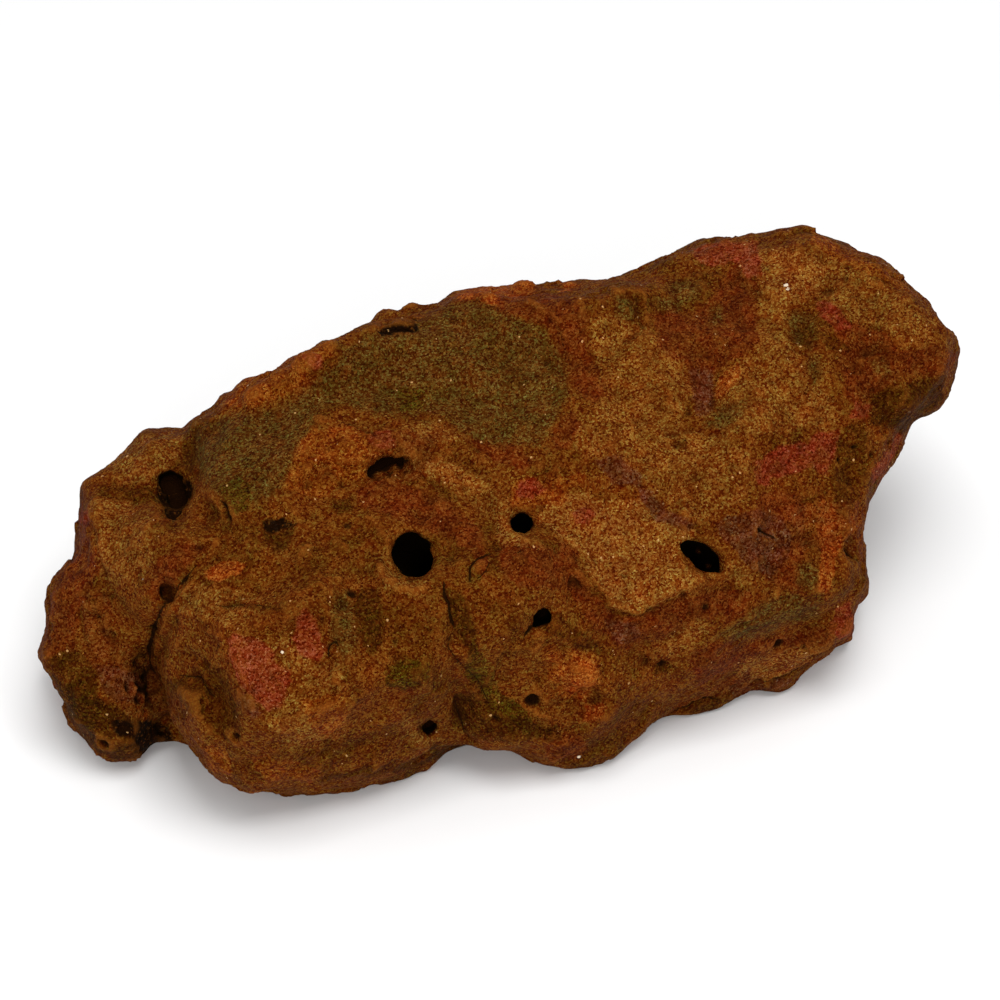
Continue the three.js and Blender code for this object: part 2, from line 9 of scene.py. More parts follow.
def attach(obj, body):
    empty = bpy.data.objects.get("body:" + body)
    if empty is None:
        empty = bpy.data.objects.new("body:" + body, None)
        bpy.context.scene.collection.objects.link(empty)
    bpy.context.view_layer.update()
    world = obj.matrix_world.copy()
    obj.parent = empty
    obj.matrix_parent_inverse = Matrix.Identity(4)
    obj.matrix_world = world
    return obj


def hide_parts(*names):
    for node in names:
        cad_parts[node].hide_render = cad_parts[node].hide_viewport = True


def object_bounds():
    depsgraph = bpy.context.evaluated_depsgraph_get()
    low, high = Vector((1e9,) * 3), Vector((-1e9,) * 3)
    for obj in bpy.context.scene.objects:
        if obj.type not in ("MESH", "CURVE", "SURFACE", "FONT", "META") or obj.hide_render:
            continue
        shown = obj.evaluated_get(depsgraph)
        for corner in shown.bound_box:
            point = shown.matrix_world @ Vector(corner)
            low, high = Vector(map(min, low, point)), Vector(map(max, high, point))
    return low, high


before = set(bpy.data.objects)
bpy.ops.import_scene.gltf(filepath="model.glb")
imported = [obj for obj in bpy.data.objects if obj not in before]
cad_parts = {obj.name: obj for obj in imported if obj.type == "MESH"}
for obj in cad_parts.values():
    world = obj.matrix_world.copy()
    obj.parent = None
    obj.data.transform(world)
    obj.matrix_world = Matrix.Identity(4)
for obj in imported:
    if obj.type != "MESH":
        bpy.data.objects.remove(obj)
cad_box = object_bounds()

MM = 0.001

# The side that the stone is seen from, and how wide the view is at its middle.
AZIMUTH = math.radians(-22)
ELEVATION = math.radians(40)
DISTANCE = 0.94
TARGET = Vector((0.0003, 0.00418, 0.040))
VIEW_WIDTH = 0.25
PIXELS = 1000

back = Vector(
    (
        math.sin(AZIMUTH) * math.cos(ELEVATION),
        -math.cos(AZIMUTH) * math.cos(ELEVATION),
        math.sin(ELEVATION),
    )
)
right = Vector((math.cos(AZIMUTH), math.sin(AZIMUTH), 0.0))
up = back.cross(right)
eye = TARGET + back * DISTANCE


def look_through(x, y):
    """The direction from the eye through a place of the view, in its thousandths."""
    u = (x / PIXELS - 0.5) * VIEW_WIDTH
    v = (0.5 - y / PIXELS) * VIEW_WIDTH
    return (TARGET + right * u + up * v - eye).normalized()


# The stone's base mesh: even and fine, then thinned on the sides that the view doesn't show.

VOXEL = 0.9 * MM
SMOOTHING = 3
MOST_TRIANGLES = 192000

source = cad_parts["rock"]
stone = bpy.data.objects.new("rock_surface", source.data.copy())
bpy.context.scene.collection.objects.link(stone)


def apply_modifiers(piece):
    depsgraph = bpy.context.evaluated_depsgraph_get()
    mesh = bpy.data.meshes.new_from_object(piece.evaluated_get(depsgraph))
    piece.modifiers.clear()
    piece.data = mesh


def read_points(data):
    flat = np.empty(len(data.vertices) * 3, dtype=np.float32)
    data.vertices.foreach_get("co", flat)
    return flat.reshape(-1, 3).astype(np.float64)


def read_normals(data):
    flat = np.empty(len(data.vertices) * 3, dtype=np.float32)
    data.vertices.foreach_get("normal", flat)
    return flat.reshape(-1, 3).astype(np.float64)


def write_points(data, points):
    data.vertices.foreach_set("co", points.astype(np.float32).ravel())
    data.update()


def facing_eye(points, normals):
    to_eye = np.array(eye) - points
    to_eye /= np.linalg.norm(to_eye, axis=1)[:, None]
    return (normals * to_eye).sum(1)


remesh = stone.modifiers.new("remesh", "REMESH")
remesh.mode = "VOXEL"
remesh.voxel_size = VOXEL
smooth_modifier = stone.modifiers.new("smooth", "SMOOTH")
smooth_modifier.factor = 0.5
smooth_modifier.iterations = SMOOTHING
apply_modifiers(stone)

facing = facing_eye(read_points(stone.data), read_normals(stone.data))
group = stone.vertex_groups.new(name="away")
group.add(np.nonzero(facing < -0.2)[0].tolist(), 1.0, "REPLACE")
thinned = stone.modifiers.new("thin", "DECIMATE")
thinned.ratio = MOST_TRIANGLES / (2 * len(stone.data.polygons))
thinned.vertex_group = "away"
apply_modifiers(stone)
stone.vertex_groups.clear()
mesh = stone.data

edge_ends = np.empty(len(mesh.edges) * 2, dtype=np.int32)
mesh.edges.foreach_get("vertices", edge_ends)
edge_ends = edge_ends.reshape(-1, 2)
neighbours = np.bincount(edge_ends.ravel(), minlength=len(mesh.vertices)).astype(float)


def averaged(values, rounds):
    """Each vertex's value, averaged with its neighbours' again and again."""
    values = values.astype(float)
    columns = values.reshape(len(values), -1)
    for _ in range(rounds):
        total = np.empty_like(columns)
        for n in range(columns.shape[1]):
            column = columns[:, n]
            total[:, n] = np.bincount(
                edge_ends[:, 0], weights=column[edge_ends[:, 1]], minlength=len(column)
            )
            total[:, n] += np.bincount(
                edge_ends[:, 1], weights=column[edge_ends[:, 0]], minlength=len(column)
            )
        columns = 0.4 * columns + 0.6 * total / np.maximum(neighbours, 1)[:, None]
    return columns.reshape(values.shape)


points = read_points(mesh)
normals = read_normals(mesh)
base_points = points.copy()


def smoothstep(low, high, value):
    t = np.clip((value - low) / (high - low), 0, 1)
    return t * t * (3 - 2 * t)


def shifted(size, seed):
    """Every vertex in units of size metres, moved aside by the seed."""
    moved = base_points / size + np.array([3.17, 1.71, 2.39]) * seed
    return [Vector(p) for p in moved.tolist()]


def field(size, seed, octaves=3):
    """Noise at every vertex, about size metres across, from about -1 to 1."""
    return np.array([noise.fractal(p, 1.0, 2.0, octaves) for p in shifted(size, seed)])


def ridges(size, seed, octaves=2):
    """Creased noise at every vertex."""
    return np.array(
        [noise.ridged_multi_fractal(p, 1.0, 2.0, octaves, 1.0, 2.0) - 1 for p in shifted(size, seed)]
    )


def nearest_cell(size, seed):
    """Each vertex's distance from the middle of its cell, as a share of size."""
    return np.array([noise.voronoi(p)[0][0] for p in shifted(size, seed)])


def chips(size, seed, ragged):
    """Flat chips about size metres across, each tilted its own way: heights from about -1 to 1."""
    heights = []
    for p, stray in zip(shifted(size, seed), ragged):
        middle = noise.voronoi(p + Vector((stray, -stray, stray)))[1][0]
        tilt = noise.noise_vector(middle * 7.3)
        heights.append((p - middle).dot(tilt) + 0.5 * tilt.x)
    return np.array(heights)


tree = BVHTree.FromObject(stone, bpy.context.evaluated_depsgraph_get())


def on_stone(x, y):
    """The point of the stone that is seen at a place of the view."""
    hit = tree.ray_cast(eye, look_through(x, y))[0]
    if hit is None:
        hit = tree.find_nearest(eye + look_through(x, y) * DISTANCE)[0]
    return np.array(hit)


def path_distance(path):
    """Each vertex's distance to a path over the stone, its side, how far along, and the length."""
    ends = [on_stone(*place) for place in path]
    best = np.full(len(points), 1e9)
    side = np.ones(len(points))
    along = np.zeros(len(points))
    run = 0.0
    for a, b in zip(ends, ends[1:]):
        edge = b - a
        length = np.linalg.norm(edge)
        t = np.clip((base_points - a) @ edge / max(length**2, 1e-12), 0, 1)
        gap = np.linalg.norm(base_points - a - t[:, None] * edge, axis=1)
        turn = (np.cross(edge, base_points - a) * normals).sum(1)
        nearer = gap < best
        best = np.where(nearer, gap, best)
        side = np.where(nearer, np.sign(turn), side)
        along = np.where(nearer, run + t * length, along)
        run += length
    return best, side, along, run


# Where each vertex is in the view, in its thousandths, and how well it is seen.
offset = base_points - np.array(eye)
depth = -offset @ np.array(back)
view_x = (offset @ np.array(right) / depth * DISTANCE / VIEW_WIDTH + 0.5) * PIXELS
view_y = (0.5 - offset @ np.array(up) / depth * DISTANCE / VIEW_WIDTH) * PIXELS
facing = facing_eye(base_points, normals)
clear = np.zeros(len(points))
for n in np.nonzero(facing > -0.05)[0]:
    start = Vector(base_points[n] + normals[n] * 0.4 * MM)
    if tree.ray_cast(start, eye - start)[0] is None:
        clear[n] = 1.0
seen = smoothstep(0.1, 0.5, averaged(clear, 4)) * smoothstep(-0.3, -0.05, facing)

middling = field(9 * MM, 2)
small = field(4 * MM, 3)
tiny = field(1.8 * MM, 4, 2)
warp_x = field(11 * MM, 5) * 2 + small * 2
warp_y = field(11 * MM, 7) * 2 - small * 2


def patch(*outlines):
    """How far each vertex is inside any of the patches drawn in the view, in mm."""
    x = view_x + warp_x
    y = view_y + warp_y
    best = np.full(len(points), -1e9)
    for outline in outlines:
        xs, ys = zip(*outline)
        close = np.nonzero(
            (x > min(xs) - 40) & (x < max(xs) + 40) & (y > min(ys) - 40) & (y < max(ys) + 40)
        )[0]
        px, py = x[close], y[close]
        nearest = np.full(len(close), 1e9)
        inside = np.zeros(len(close), dtype=bool)
        for (ax, ay), (bx, by) in zip(outline, outline[1:] + outline[:1]):
            ex, ey = bx - ax, by - ay
            t = np.clip(((px - ax) * ex + (py - ay) * ey) / (ex * ex + ey * ey), 0, 1)
            nearest = np.minimum(nearest, np.hypot(px - ax - t * ex, py - ay - t * ey))
            if ey:
                inside ^= ((ay > py) != (by > py)) & (px < ex * (py - ay) / ey + ax)
        best[close] = np.maximum(best[close], np.where(inside, nearest, -nearest))
    return best * VIEW_WIDTH / PIXELS / MM


# Patches of colour, drawn in the view.

OLIVE = [
    [
        (345, 350), (365, 333), (400, 333), (430, 318), (450, 303), (475, 303), (495, 310),
        (530, 322), (548, 340), (562, 352), (567, 372), (570, 388), (562, 405), (550, 430),
        (540, 445), (500, 446), (478, 440), (458, 426), (436, 414), (408, 412), (378, 415),
        (340, 404), (318, 408), (308, 430), (297, 445), (292, 462), (284, 482), (270, 500),
        (246, 506), (231, 520), (219, 500), (206, 485), (194, 458), (192, 432), (205, 420),
        (245, 414), (290, 404), (315, 382), (335, 366),
    ],
    [(716, 640), (735, 622), (768, 600), (795, 598), (822, 608), (818, 618), (790, 622), (752, 636)],
    [(800, 565), (812, 560), (818, 582), (806, 590), (799, 580)],
    [(785, 318), (797, 308), (812, 318), (816, 338), (808, 350), (792, 340)],
    [(806, 352), (818, 358), (822, 378), (814, 384), (806, 372)],
    [(868, 362), (885, 358), (893, 372), (880, 376)],
    [(333, 584), (352, 600), (360, 640), (345, 662), (330, 640)],
    [(702, 420), (725, 402), (745, 398), (742, 415), (722, 430), (705, 428)],
    [(615, 295), (640, 300), (635, 322), (618, 315)],
    [(655, 300), (683, 300), (680, 312), (660, 312)],
    [(668, 284), (698, 284), (696, 297), (672, 295)],
    [(712, 308), (723, 306), (723, 322), (713, 322)],
]
GREEN = [
    [(384, 666), (408, 658), (430, 666), (428, 684), (402, 692), (386, 684)],
    [(216, 488), (235, 478), (252, 486), (250, 506), (232, 516), (222, 502)],
    [(470, 640), (490, 660), (500, 690), (520, 705), (545, 735), (510, 735), (485, 705), (465, 672)],
    [(60, 690), (85, 680), (105, 700), (120, 722), (95, 732), (70, 716)],
    [(400, 388), (425, 392), (422, 412), (402, 410)],
]
RUST = [
    [(400, 496), (430, 496), (436, 508), (410, 510)],
    [(716, 600), (748, 598), (748, 618), (724, 624)],
    [
        (498, 300), (540, 290), (566, 294), (588, 315), (584, 340), (594, 362), (606, 388),
        (598, 404), (582, 398), (572, 384), (568, 366), (556, 348), (548, 330), (528, 318), (500, 312),
    ],
    [(560, 424), (572, 408), (580, 425), (568, 448), (552, 452), (552, 438)],
    [
        (655, 318), (672, 306), (690, 320), (712, 300), (735, 262), (756, 285), (757, 345),
        (735, 358), (714, 374), (712, 408), (696, 398), (690, 366), (655, 350),
    ],
    [
        (838, 318), (885, 331), (900, 350), (938, 346), (958, 355), (942, 374), (905, 376),
        (878, 390), (860, 408), (846, 396), (842, 366), (836, 340),
    ],
    [
        (562, 540), (578, 552), (592, 592), (612, 612), (640, 616), (682, 600), (722, 590),
        (752, 590), (745, 612), (700, 620), (664, 640), (622, 650), (600, 634), (576, 602), (560, 575),
    ],
    [
        (418, 490), (450, 502), (480, 530), (490, 560), (486, 585), (470, 550), (440, 535),
        (400, 520), (360, 505), (345, 492), (380, 482),
    ],
    [(760, 492), (795, 492), (806, 505), (808, 540), (800, 585), (790, 590), (765, 580), (745, 545)],
    [
        (86, 486), (80, 512), (78, 540), (60, 572), (50, 592), (45, 606), (50, 620), (40, 642),
        (48, 660), (76, 655), (76, 615), (92, 588), (98, 565), (88, 530),
    ],
    [(155, 560), (175, 545), (215, 545), (190, 566), (172, 590), (152, 604), (148, 585)],
    [(690, 650), (740, 640), (820, 628), (842, 640), (800, 645), (745, 660), (700, 690), (690, 672)],
    [(540, 732), (570, 736), (590, 745), (575, 762), (545, 752)],
    [(462, 436), (480, 432), (515, 446), (535, 462), (520, 474), (500, 462), (474, 450)],
    [(500, 545), (540, 545), (575, 555), (560, 590), (520, 585), (500, 570)],
]
RED = [
    [(764, 470), (764, 456), (776, 448), (800, 440), (812, 448), (812, 470), (790, 474), (776, 480)],
    [(518, 482), (534, 477), (546, 490), (532, 500), (516, 496)],
    [(757, 484), (756, 462), (766, 456), (772, 470), (768, 486)],
    [(808, 440), (820, 432), (840, 430), (836, 450), (828, 474), (816, 472), (806, 456)],
    [(815, 296), (840, 305), (852, 326), (838, 332), (820, 316)],
    [(834, 612), (850, 605), (856, 622), (852, 638), (838, 640), (830, 630)],
    [(574, 514), (584, 508), (598, 512), (590, 522), (578, 522)],
    [(855, 402), (870, 404), (868, 418), (852, 416)],
    [(78, 512), (88, 508), (90, 522), (80, 526)],
]
OCHRE = [
    [(374, 560), (384, 552), (394, 566), (402, 580), (416, 585), (430, 582), (424, 594), (400, 596), (382, 586)],
    [(660, 650), (668, 622), (700, 614), (712, 628), (692, 650), (670, 656)],
    [(900, 315), (930, 320), (934, 342), (905, 345), (890, 330)],
    [(706, 578), (725, 565), (738, 556), (752, 584), (730, 584)],
    [
        (420, 462), (445, 460), (468, 470), (492, 486), (506, 500), (520, 530), (545, 548),
        (520, 545), (500, 536), (482, 508), (456, 494), (440, 478),
    ],
    [
        (758, 250), (795, 246), (850, 268), (885, 290), (932, 314), (938, 342), (902, 348),
        (888, 332), (850, 318), (818, 296), (786, 306), (784, 330), (800, 356), (826, 392),
        (846, 410), (832, 428), (800, 430), (762, 436), (724, 432), (742, 402), (714, 404),
        (722, 374), (758, 350),
    ],
    [
        (592, 318), (632, 312), (650, 330), (686, 368), (692, 398), (682, 404), (684, 428),
        (720, 436), (748, 452), (744, 500), (700, 524), (668, 500), (640, 480), (612, 455),
        (580, 460), (575, 430), (605, 396), (592, 350),
    ],
    [(90, 500), (110, 498), (152, 506), (156, 540), (146, 574), (116, 584), (105, 578), (94, 548), (88, 520)],
    [(106, 466), (122, 448), (140, 436), (182, 436), (180, 456), (166, 472), (146, 486), (122, 486)],
    [(176, 592), (198, 584), (250, 592), (268, 600), (235, 604), (262, 612), (232, 626), (190, 618), (170, 612)],
    [(262, 646), (285, 640), (300, 655), (320, 664), (340, 660), (345, 690), (300, 686), (290, 670)],
    [(560, 655), (585, 650), (600, 662), (598, 682), (585, 698), (562, 692), (555, 676)],
    [(404, 712), (425, 736), (448, 745), (430, 756), (405, 745)],
    [(285, 695), (330, 700), (345, 735), (320, 750), (285, 745), (270, 720)],
    [(400, 420), (440, 424), (470, 440), (440, 446), (405, 436)],
]
SAND = [
    [(620, 515), (642, 520), (640, 532), (618, 528)],
    [(752, 660), (790, 648), (826, 648), (800, 668), (765, 680), (742, 690), (738, 672)],
    [
        (548, 500), (580, 495), (640, 500), (668, 520), (700, 528), (690, 542), (676, 552),
        (690, 572), (704, 580), (682, 598), (640, 614), (612, 606), (592, 580), (580, 552),
        (556, 530), (536, 518),
    ],
    [(404, 466), (420, 462), (445, 462), (466, 474), (484, 492), (462, 488), (440, 480), (418, 474)],
    [(500, 515), (515, 535), (535, 548), (522, 554), (508, 552), (498, 536)],
    [(770, 255), (800, 250), (830, 268), (815, 290), (785, 300), (768, 290)],
    [(740, 652), (765, 645), (790, 655), (770, 672), (748, 672)],
]
EMBER = [
    [(585, 706), (605, 704), (600, 718), (585, 722)],
    [(452, 300), (470, 280), (498, 278), (518, 266), (538, 268), (536, 292), (505, 304), (482, 302)],
    [(558, 283), (576, 282), (580, 289), (562, 290)],
    [(820, 500), (834, 505), (840, 540), (836, 570), (826, 600), (818, 585), (822, 545), (816, 525)],
    [(205, 574), (222, 560), (246, 562), (240, 574), (222, 582), (210, 584)],
    [(718, 378), (738, 364), (742, 374), (726, 394), (714, 400)],
    [(556, 668), (575, 655), (596, 662), (598, 680), (584, 696), (566, 690)],
]
ORANGE = [
    [(850, 505), (864, 508), (860, 545), (846, 540)],
    [(512, 484), (530, 476), (560, 490), (568, 502), (540, 508), (512, 506)],
    [
        (298, 442), (316, 430), (352, 428), (396, 442), (390, 458), (370, 465), (366, 480),
        (340, 484), (318, 496), (287, 490), (286, 468),
    ],
    [(548, 656), (580, 648), (602, 658), (600, 682), (584, 700), (560, 694), (550, 676)],
    [(222, 404), (250, 372), (296, 336), (330, 336), (336, 356), (306, 376), (285, 396), (248, 410)],
    [(555, 480), (585, 474), (584, 484), (560, 490)],
    [(810, 240), (840, 262), (900, 290), (920, 300), (905, 285), (860, 256), (815, 232)],
    [(800, 500), (830, 506), (862, 505), (858, 540), (842, 536), (824, 545), (806, 528)],
    [(245, 755), (285, 762), (322, 770), (310, 782), (262, 778)],
    [(205, 750), (225, 745), (232, 775), (214, 772)],
    [(300, 700), (345, 695), (350, 720), (325, 735), (305, 722)],
    [(80, 545), (95, 548), (98, 570), (78, 590), (60, 590), (66, 570)],
]
PURPLE = [
    [(686, 366), (712, 368), (712, 408), (704, 418), (694, 414)],
    [(592, 462), (620, 455), (640, 470), (642, 486), (612, 486)],
    [(640, 486), (652, 490), (668, 506), (698, 522), (690, 530), (656, 520), (642, 500)],
    [(728, 514), (755, 510), (785, 518), (794, 535), (788, 560), (774, 574), (754, 570), (738, 556), (722, 540), (716, 526)],
    [(604, 618), (636, 622), (640, 640), (612, 645)],
    [(95, 665), (135, 672), (150, 700), (120, 702), (100, 690)],
    [(752, 682), (790, 682), (780, 690), (760, 690)],
    [(730, 690), (750, 672), (752, 690), (735, 700)],
    [(240, 690), (252, 700), (262, 716), (250, 722), (240, 706)],
]
PINK = [
    [(370, 430), (390, 426), (396, 445), (380, 450), (368, 442)],
    [(690, 250), (725, 242), (757, 244), (764, 272), (750, 280), (735, 262), (705, 268)],
    [
        (225, 641), (235, 632), (262, 640), (276, 655), (264, 666), (290, 669), (294, 680),
        (283, 690), (280, 708), (268, 713), (254, 700), (240, 686), (230, 664),
    ],
    [(303, 607), (315, 620), (320, 640), (326, 650), (318, 661), (300, 655), (292, 640), (297, 620)],
    [(872, 470), (888, 448), (896, 432), (902, 434), (896, 455), (880, 478), (872, 484)],
    [(305, 356), (322, 352), (325, 368), (312, 372)],
]
# Umber: brown stain, and in places painted shade in bands under ledges.
UMBER = [
    [(186, 436), (194, 432), (198, 480), (190, 478), (180, 470), (172, 470), (184, 455)],
    [(810, 330), (835, 332), (850, 352), (830, 350)],
    [(795, 322), (808, 322), (812, 344), (800, 346)],
    [(360, 770), (400, 762), (430, 756), (425, 766), (380, 775), (320, 782), (320, 776)],
    [(540, 618), (560, 614), (600, 645), (590, 652), (560, 640), (545, 632)],
    [(100, 486), (130, 490), (156, 486), (158, 500), (120, 500), (100, 496)],
    [(836, 430), (862, 420), (870, 440), (866, 480), (850, 520), (836, 515), (832, 480), (834, 450)],
    [(652, 664), (672, 662), (668, 674), (654, 674)],
    [(152, 700), (170, 696), (190, 712), (182, 722), (156, 714)],
    [(205, 660), (224, 672), (236, 700), (246, 730), (228, 745), (205, 720), (178, 700), (166, 682),
     (190, 676)],
]
# Dark: dark stain, and in places painted shade on faces turned down and under edges.
DARK = [
    [(264, 521), (294, 518), (297, 528), (290, 546), (276, 554), (266, 544)],
    [(445, 588), (460, 592), (476, 630), (478, 655), (462, 650), (452, 620)],
    [
        (46, 662), (60, 650), (80, 652), (96, 668), (100, 695), (128, 715), (150, 728),
        (140, 756), (112, 760), (84, 745), (62, 705),
    ],
    [(362, 585), (380, 590), (384, 640), (372, 655), (358, 640), (352, 610)],
    [(455, 690), (480, 690), (500, 715), (555, 725), (560, 738), (520, 742), (475, 738), (450, 725)],
    [(870, 395), (905, 384), (945, 374), (942, 402), (905, 432), (870, 424)],
    [(262, 605), (232, 602), (226, 608), (262, 611), (285, 612), (285, 606)],
    [(670, 712), (700, 700), (738, 696), (715, 712)],
    [(672, 442), (684, 440), (684, 450), (672, 450)],
    [(332, 498), (352, 498), (352, 514), (334, 516)],
    [(430, 745), (460, 742), (500, 752), (470, 756), (430, 760)],
]
SHADOW = [
    [(160, 480), (172, 471), (184, 479), (193, 487), (187, 500), (180, 512), (175, 524), (167, 520),
     (163, 508), (155, 496)],
    [(130, 726), (150, 722), (168, 728), (174, 744), (158, 748), (142, 756), (130, 746)],
    [(112, 723), (130, 722), (140, 732), (132, 740), (118, 738)],
    [(378, 330), (386, 325), (400, 323), (417, 324), (417, 332), (398, 336), (380, 336)],
    [(158, 606), (164, 597), (173, 595), (171, 602), (163, 608)],
    [(263, 520), (295, 517), (297, 523), (280, 527), (265, 528)],
]
CRUMBLE = [
    [(78, 600), (95, 588), (110, 605), (112, 640), (150, 652), (168, 690), (160, 722), (128, 715),
     (104, 690), (84, 650)],
    [(786, 505), (866, 500), (864, 560), (842, 545), (800, 552)],
    [(370, 430), (440, 430), (420, 480), (365, 485)],
    [(720, 680), (755, 672), (770, 690), (735, 700), (690, 700)],
    [(155, 690), (190, 705), (188, 726), (160, 722)],
]


def unseen_patches(size, seed, level):
    """Patches for the sides that the view doesn't show, in mm inside their edges."""
    return (field(size, seed, 4) - level) * 12


# Each kind of patch: its outlines, and for the other sides its size, seed and rarity.
masks = {
    "olive": (OLIVE, 34 * MM, 21, 0.28),
    "green": (GREEN, 22 * MM, 29, 0.42),
    "ember": (EMBER, 14 * MM, 35, 0.5),
    "rust": (RUST, 28 * MM, 22, 0.12),
    "red": (RED, 18 * MM, 30, 0.42),
    "ochre": (OCHRE, 30 * MM, 23, 0.05),
    "sand": (SAND, 16 * MM, 34, 0.4),
    "orange": (ORANGE, 20 * MM, 24, 0.26),
    "purple": (PURPLE, 18 * MM, 25, 0.36),
    "pink": (PINK, 16 * MM, 26, 0.5),
    "umber": (UMBER, 24 * MM, 36, 0.3),
    "dark": (DARK, 26 * MM, 27, 0.26),
    "shadow": (SHADOW, 14 * MM, 33, 0.62),
    "crumble": (CRUMBLE, 30 * MM, 28, 0.3),
}
inside = {}
for name, (outlines, size, seed, level) in masks.items():
    drawn = np.clip(patch(*outlines), -8, 8)
    guessed = np.clip(unseen_patches(size, seed, level), -8, 8)
    inside[name] = seen * drawn + (1 - seen) * guessed

crumbly = smoothstep(-1, 2, inside["crumble"])
calm = 1 - 0.55 * np.clip(smoothstep(-2, 3, inside["olive"]) + smoothstep(-2, 3, inside["dark"]), 0, 1)

# Relief: chips, lobes and grit, then the grooves, pits and lips that the view shows.

raised = 0.34 * MM * middling * calm + 0.22 * MM * small * (1 + crumbly)
raised += 0.12 * MM * tiny * (0.5 + 0.5 * calm + 1.6 * crumbly)
raised += 1.5 * MM * calm * chips(13 * MM, 11, 0.25 * middling)
raised += 0.7 * MM * calm * chips(6 * MM, 12, 0.3 * small)
raised += 0.8 * MM * crumbly * chips(3 * MM, 13, 0.3 * tiny)
raised -= 0.5 * MM * smoothstep(0.25, 0.8, ridges(12 * MM, 10)) * (1 - 0.6 * seen)

# Grooves: path over the stone, width and depth in mm. A depth below 0 is a lip.
GROOVES = [
    ([(369, 474), (378, 467), (391, 463), (405, 462)], 2.0, 3.0),
    ([(381, 330), (396, 328), (414, 329)], 1.6, 2.6),
    ([(758, 528), (766, 533), (777, 539)], 0.9, 1.6),
    ([(600, 546), (622, 537), (650, 524), (672, 517)], 0.7, 0.3),
    ([(682, 545), (692, 551), (702, 556)], 2.6, 3.5),
    ([(704, 562), (716, 568), (722, 573)], 2.2, 2.0),
    ([(752, 562), (756, 576), (752, 588), (734, 584)], 1.6, -0.7),
    ([(444, 580), (445, 594), (449, 603), (450, 613), (455, 629)], 1.0, 1.7),
    ([(454, 626), (450, 648), (460, 665), (478, 680), (487, 700), (496, 720)], 2.2, 1.2),
    ([(455, 694), (458, 712), (462, 730), (470, 744)], 1.8, 1.3),
    ([(196, 566), (184, 580), (172, 597), (160, 612), (152, 632), (149, 652), (151, 670), (158, 682)], 1.2, 1.8),
    ([(193, 426), (194, 455), (199, 482)], 1.0, 0.6),
    ([(221, 501), (225, 510), (230, 521)], 1.4, 2.4),
    ([(100, 472), (115, 485), (126, 490), (155, 487)], 1.2, 0.9),
    ([(88, 520), (95, 545), (102, 565), (108, 583)], 1.0, 0.9),
    ([(80, 600), (78, 620), (83, 640), (95, 654)], 0.9, 0.9),
    ([(110, 606), (112, 632), (120, 646), (148, 650)], 0.9, 0.8),
    ([(170, 619), (200, 623), (226, 632)], 0.9, 0.6),
    ([(226, 634), (229, 662), (244, 690), (256, 706)], 0.8, 0.8),
    ([(158, 676), (180, 675), (200, 677), (208, 690), (226, 712)], 0.9, 1.2),
    ([(152, 668), (176, 690), (200, 702), (214, 724), (226, 752), (233, 776)], 0.9, 0.9),
    ([(205, 590), (230, 592), (250, 599)], 0.8, 0.9),
    ([(214, 605), (245, 603), (275, 607)], 0.9, 1.2),
    ([(200, 615), (235, 617), (262, 612)], 0.8, 0.8),
    ([(220, 768), (262, 780), (310, 786), (360, 784)], 0.8, 0.7),
    ([(330, 742), (380, 758), (425, 758)], 0.7, 0.6),
    ([(340, 722), (376, 702), (424, 694), (446, 700)], 0.8, 0.5),
    ([(328, 658), (327, 646), (333, 641), (338, 647)], 0.6, 1.4),
    ([(577, 550), (582, 572), (598, 594), (614, 611), (634, 618), (652, 611), (682, 599), (706, 592), (738, 587)], 1.3, 0.35),
    ([(704, 656), (720, 640), (738, 627), (768, 614)], 1.1, 0.9),
    ([(690, 666), (722, 660), (762, 640), (800, 628), (832, 625)], 1.0, 0.8),
    ([(676, 712), (684, 692), (697, 680), (722, 676)], 0.8, 1.0),
    ([(815, 300), (846, 323), (886, 331), (901, 351), (940, 348)], 1.4, 0.4),
    ([(757, 255), (759, 300), (757, 345)], 0.9, 0.5),
    ([(757, 345), (736, 358), (716, 374), (712, 410)], 1.0, 0.7),
    ([(712, 412), (730, 400), (756, 386), (786, 372)], 0.8, 0.4),
    ([(583, 300), (590, 322), (590, 344), (600, 370), (611, 395)], 0.9, 0.4),
    ([(832, 432), (830, 470), (826, 500), (831, 522)], 0.9, 0.7),
    ([(637, 470), (641, 490), (656, 506), (680, 521), (700, 531)], 1.0, 0.9),
    ([(734, 516), (762, 531), (792, 552)], 0.7, 0.6),
    ([(470, 582), (470, 567), (478, 557), (490, 552)], 0.8, 1.5),
    ([(476, 580), (486, 571), (491, 558)], 0.8, 1.2),
    ([(514, 553), (525, 546), (539, 550)], 0.8, 1.1),
    ([(524, 637), (531, 628), (537, 620), (545, 613)], 1.3, 2.4),
    ([(340, 481), (366, 484), (396, 474), (420, 475), (446, 491), (481, 511), (501, 531), (513, 552)], 0.9, 0.7),
    ([(750, 684), (780, 679), (802, 668)], 0.9, 1.3),
    ([(674, 712), (702, 700), (738, 697)], 1.0, 1.5),
    ([(600, 743), (636, 734), (652, 726)], 0.8, 0.9),
    ([(285, 492), (305, 488), (320, 478), (332, 470)], 0.7, 0.7),
    ([(300, 440), (292, 458), (286, 478)], 0.9, 0.5),
    ([(600, 652), (622, 660), (640, 655)], 0.8, 0.6),
    ([(864, 470), (874, 448), (890, 432)], 0.8, 0.9),
    ([(836, 548), (846, 551), (860, 562)], 1.0, 1.6),
    ([(377, 560), (383, 577), (397, 589), (413, 592), (431, 587)], 2.0, -1.3),
    ([(200, 574), (181, 600), (166, 624), (157, 650), (159, 668)], 1.4, -1.4),
    ([(600, 600), (632, 611), (682, 592)], 1.6, -0.5),
    ([(369, 484), (388, 480), (404, 474)], 1.2, -0.6),
    ([(512, 532), (524, 541), (540, 546)], 1.2, -0.6),
]
